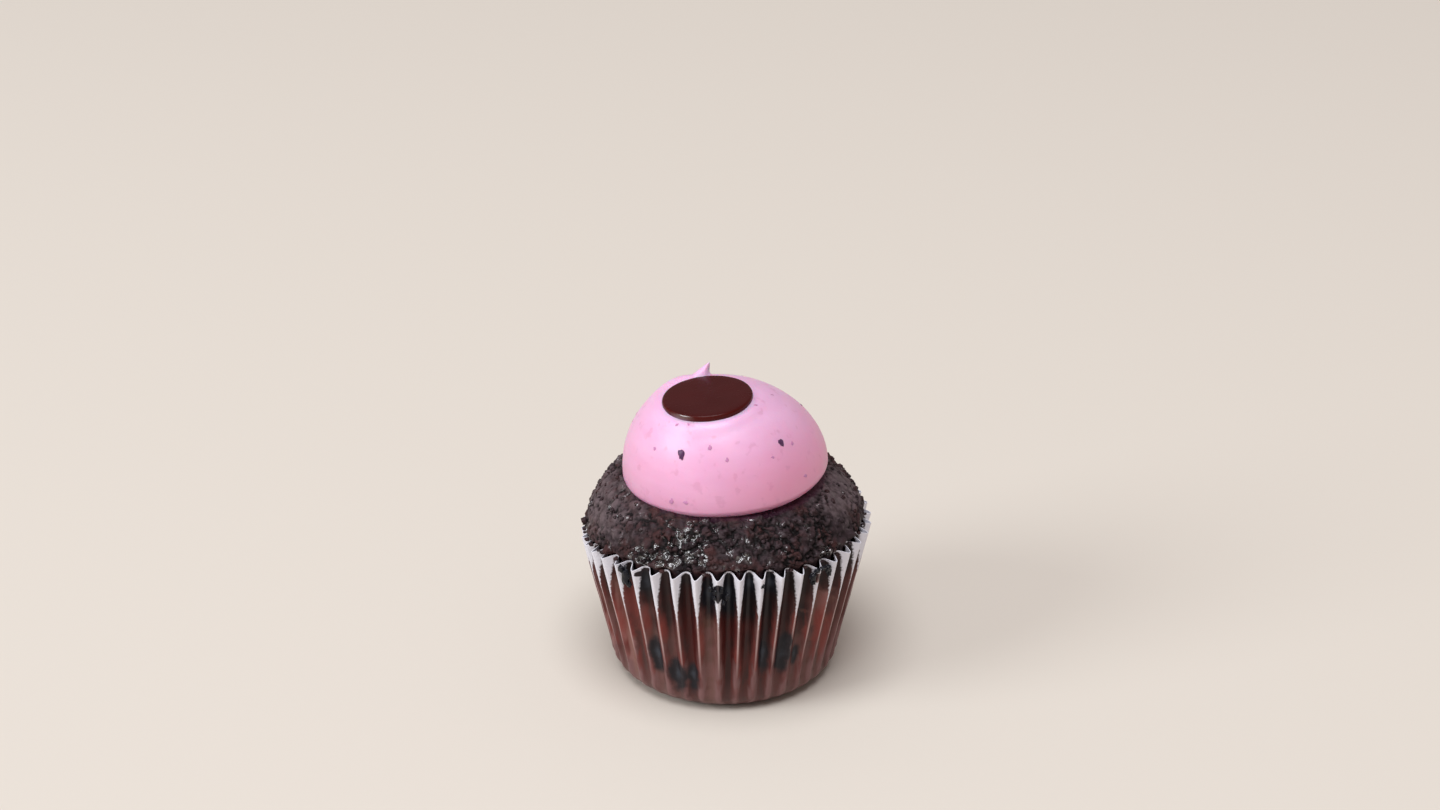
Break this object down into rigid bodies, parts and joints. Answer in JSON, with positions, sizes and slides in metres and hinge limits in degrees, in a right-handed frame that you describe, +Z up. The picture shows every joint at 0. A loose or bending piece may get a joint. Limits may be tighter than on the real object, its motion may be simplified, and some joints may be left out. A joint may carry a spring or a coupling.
{
  "type": "chocolate cupcake",
  "caption": "Chocolate cupcake in a pleated paper case, with a smooth dome of pink frosting and a flat chocolate disc pressed into its top.",
  "frame": {"origin": "centre of the paper case's flat base, on the surface that it stands on", "axes": "+Z up, -Y towards the viewer's side of the picture, +X to the viewer's right"},
  "size_m": [0.067, 0.0685, 0.0734],
  "materials": {
    "paper_case": "greaseproof paper, soaked dark by the cake in its flutes and white at its rim",
    "cake": "dark moist chocolate crumb with glossy wet spots",
    "frosting": "satin pink buttercream with dark flecks of fruit skin",
    "chocolate_disc": "satin dark chocolate"
  },
  "bodies": {
    "root": {"paper_case": "paper_case", "cake": "cake", "frosting": "frosting", "chocolate_disc": "chocolate_disc"}
  },
  "joints": []
}
